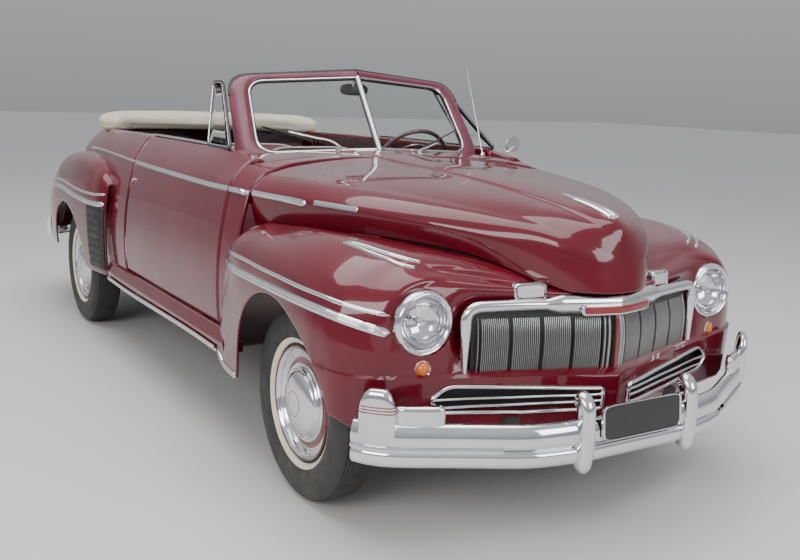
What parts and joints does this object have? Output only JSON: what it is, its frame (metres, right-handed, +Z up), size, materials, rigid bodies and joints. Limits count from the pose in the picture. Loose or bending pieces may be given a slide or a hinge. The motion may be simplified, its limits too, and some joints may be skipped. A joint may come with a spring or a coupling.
{
  "type": "two-door convertible car of the late 1940s",
  "caption": "Open two-door touring car with rounded fenders, a prow bonnet over a fine-finned grille, wrap-round bumpers, folded cloth top, opening doors, bonnet and boot, and steered wheels.",
  "frame": {"origin": "on the floor, under the middle of the car's length and width", "axes": "+X forward, +Y to the car's left, +Z up"},
  "size_m": [5.126, 1.8574, 1.6014],
  "materials": {
    "body_paint": "glossy deep red paint",
    "dash_paint": "satin maroon paint",
    "wheel_paint": "glossy red paint with a bright cap",
    "floor_paint": "matt dark paint and carpet",
    "chassis_black": "satin black paint",
    "bare_steel": "dull steel",
    "cast_iron": "cast surface",
    "chrome": "polished chrome",
    "grille_steel": "bright fins in shade",
    "canvas": "woven cream cloth",
    "seat_leather": "grained maroon leather",
    "cream_plastic": "moulded cream plastic",
    "lamp_glass": "fluted clear glass",
    "screen_glass": "flat clear glass",
    "amber_glass": "amber glass",
    "red_glass": "red glass",
    "tyre": "black rubber with a white band"
  },
  "bodies": {
    "car_body": {"aerial": "chrome", "cowl": "body_paint", "dashboard": "dash_paint", "engine_block": "cast_iron", "exhaust": "bare_steel", "floor": "floor_paint", "folded_top": "canvas", "frame": "chassis_black", "front_apron": "body_paint", "front_axle": "chassis_black", "front_bumper": "chrome", "front_fender_left": "body_paint", "front_fender_right": "body_paint", "front_seat": "seat_leather", "fuel_tank": "chassis_black", "grille": "grille_steel", "grille_surround": "chrome", "headlamp_lenses": "lamp_glass", "headlamps": "chrome", "inside_mirror": "chrome", "lower_grille": "chrome", "radiator": "chassis_black", "rear_axle": "chassis_black", "rear_body": "body_paint", "rear_bumper": "chrome", "rear_fender_left": "body_paint", "rear_fender_right": "body_paint", "rear_seat": "seat_leather", "side_lamps": "amber_glass", "sills": "body_paint", "steering_column": "dash_paint", "tail_lamps": "red_glass", "windscreen_frame": "chrome", "windscreen_glass": "screen_glass", "wipers": "chrome"},
    "knuckle_left": {"knuckle_left": "cast_iron"},
    "knuckle_right": {"knuckle_right": "cast_iron"},
    "tie_rod": {"tie_rod": "chassis_black"},
    "steering_wheel": {"steering_wheel": "cream_plastic"},
    "door_left": {"door_left": "body_paint", "vent_window_left": "chrome", "door_mirror": "chrome"},
    "door_right": {"door_right": "body_paint", "vent_window_right": "chrome"},
    "hood": {"hood": "body_paint", "hood_ornament": "chrome"},
    "boot_lid": {"boot_lid": "body_paint"},
    "wheel_front_left": {"tyre_front_left": "tyre", "wheel_front_left": "wheel_paint"},
    "wheel_front_right": {"tyre_front_right": "tyre", "wheel_front_right": "wheel_paint"},
    "wheel_rear_left": {"tyre_rear_left": "tyre", "wheel_rear_left": "wheel_paint"},
    "wheel_rear_right": {"tyre_rear_right": "tyre", "wheel_rear_right": "wheel_paint"}
  },
  "joints": [
    {"name": "steer_left", "type": "hinge", "parent": "car_body", "child": "knuckle_left", "pos_m": [1.683, 0.64, 0.339], "axis": [0, 0, 1], "range_deg": [-30, 30]},
    {"name": "steer_right", "type": "hinge", "parent": "car_body", "child": "knuckle_right", "pos_m": [1.683, -0.64, 0.339], "axis": [0, 0, 1], "range_deg": [-31, 31]},
    {"name": "tie_rod_pivot", "type": "hinge", "parent": "knuckle_left", "child": "tie_rod", "pos_m": [1.525, 0.64, 0.259], "axis": [0, 0, 1], "range_deg": [-31, 31]},
    {"name": "steering_wheel_turn", "type": "hinge", "parent": "car_body", "child": "steering_wheel", "pos_m": [0.52, 0.38, 1.068], "axis": [-0.8581, 0, 0.5134], "range_deg": [-545, 545]},
    {"name": "door_left_hinge", "type": "hinge", "parent": "car_body", "child": "door_left", "pos_m": [1.092, 0.8, 0.75], "axis": [0, 0, -1], "range_deg": [0, 65]},
    {"name": "door_right_hinge", "type": "hinge", "parent": "car_body", "child": "door_right", "pos_m": [1.092, -0.8, 0.75], "axis": [0, 0, 1], "range_deg": [0, 65]},
    {"name": "hood_hinge", "type": "hinge", "parent": "car_body", "child": "hood", "pos_m": [0.99, 0, 1.203], "axis": [0, -1, 0], "range_deg": [0, 45]},
    {"name": "boot_lid_hinge", "type": "hinge", "parent": "car_body", "child": "boot_lid", "pos_m": [-1.474, 0, 1.194], "axis": [0, 1, 0], "range_deg": [0, 60]},
    {"name": "roll_front_left", "type": "hinge", "parent": "knuckle_left", "child": "wheel_front_left", "pos_m": [1.683, 0.7365, 0.355], "axis": [0, 1, 0], "continuous": true},
    {"name": "roll_front_right", "type": "hinge", "parent": "knuckle_right", "child": "wheel_front_right", "pos_m": [1.683, -0.7365, 0.355], "axis": [0, 1, 0], "continuous": true},
    {"name": "roll_rear_left", "type": "hinge", "parent": "car_body", "child": "wheel_rear_left", "pos_m": [-1.314, 0.762, 0.355], "axis": [0, 1, 0], "continuous": true},
    {"name": "roll_rear_right", "type": "hinge", "parent": "car_body", "child": "wheel_rear_right", "pos_m": [-1.314, -0.762, 0.355], "axis": [0, 1, 0], "continuous": true}
  ],
  "couplings": [
    {"joint": "steer_right", "follows": "steer_left", "ratio": 1},
    {"joint": "tie_rod_pivot", "follows": "steer_left", "ratio": -1},
    {"joint": "steering_wheel_turn", "follows": "steer_left", "ratio": 18}
  ]
}
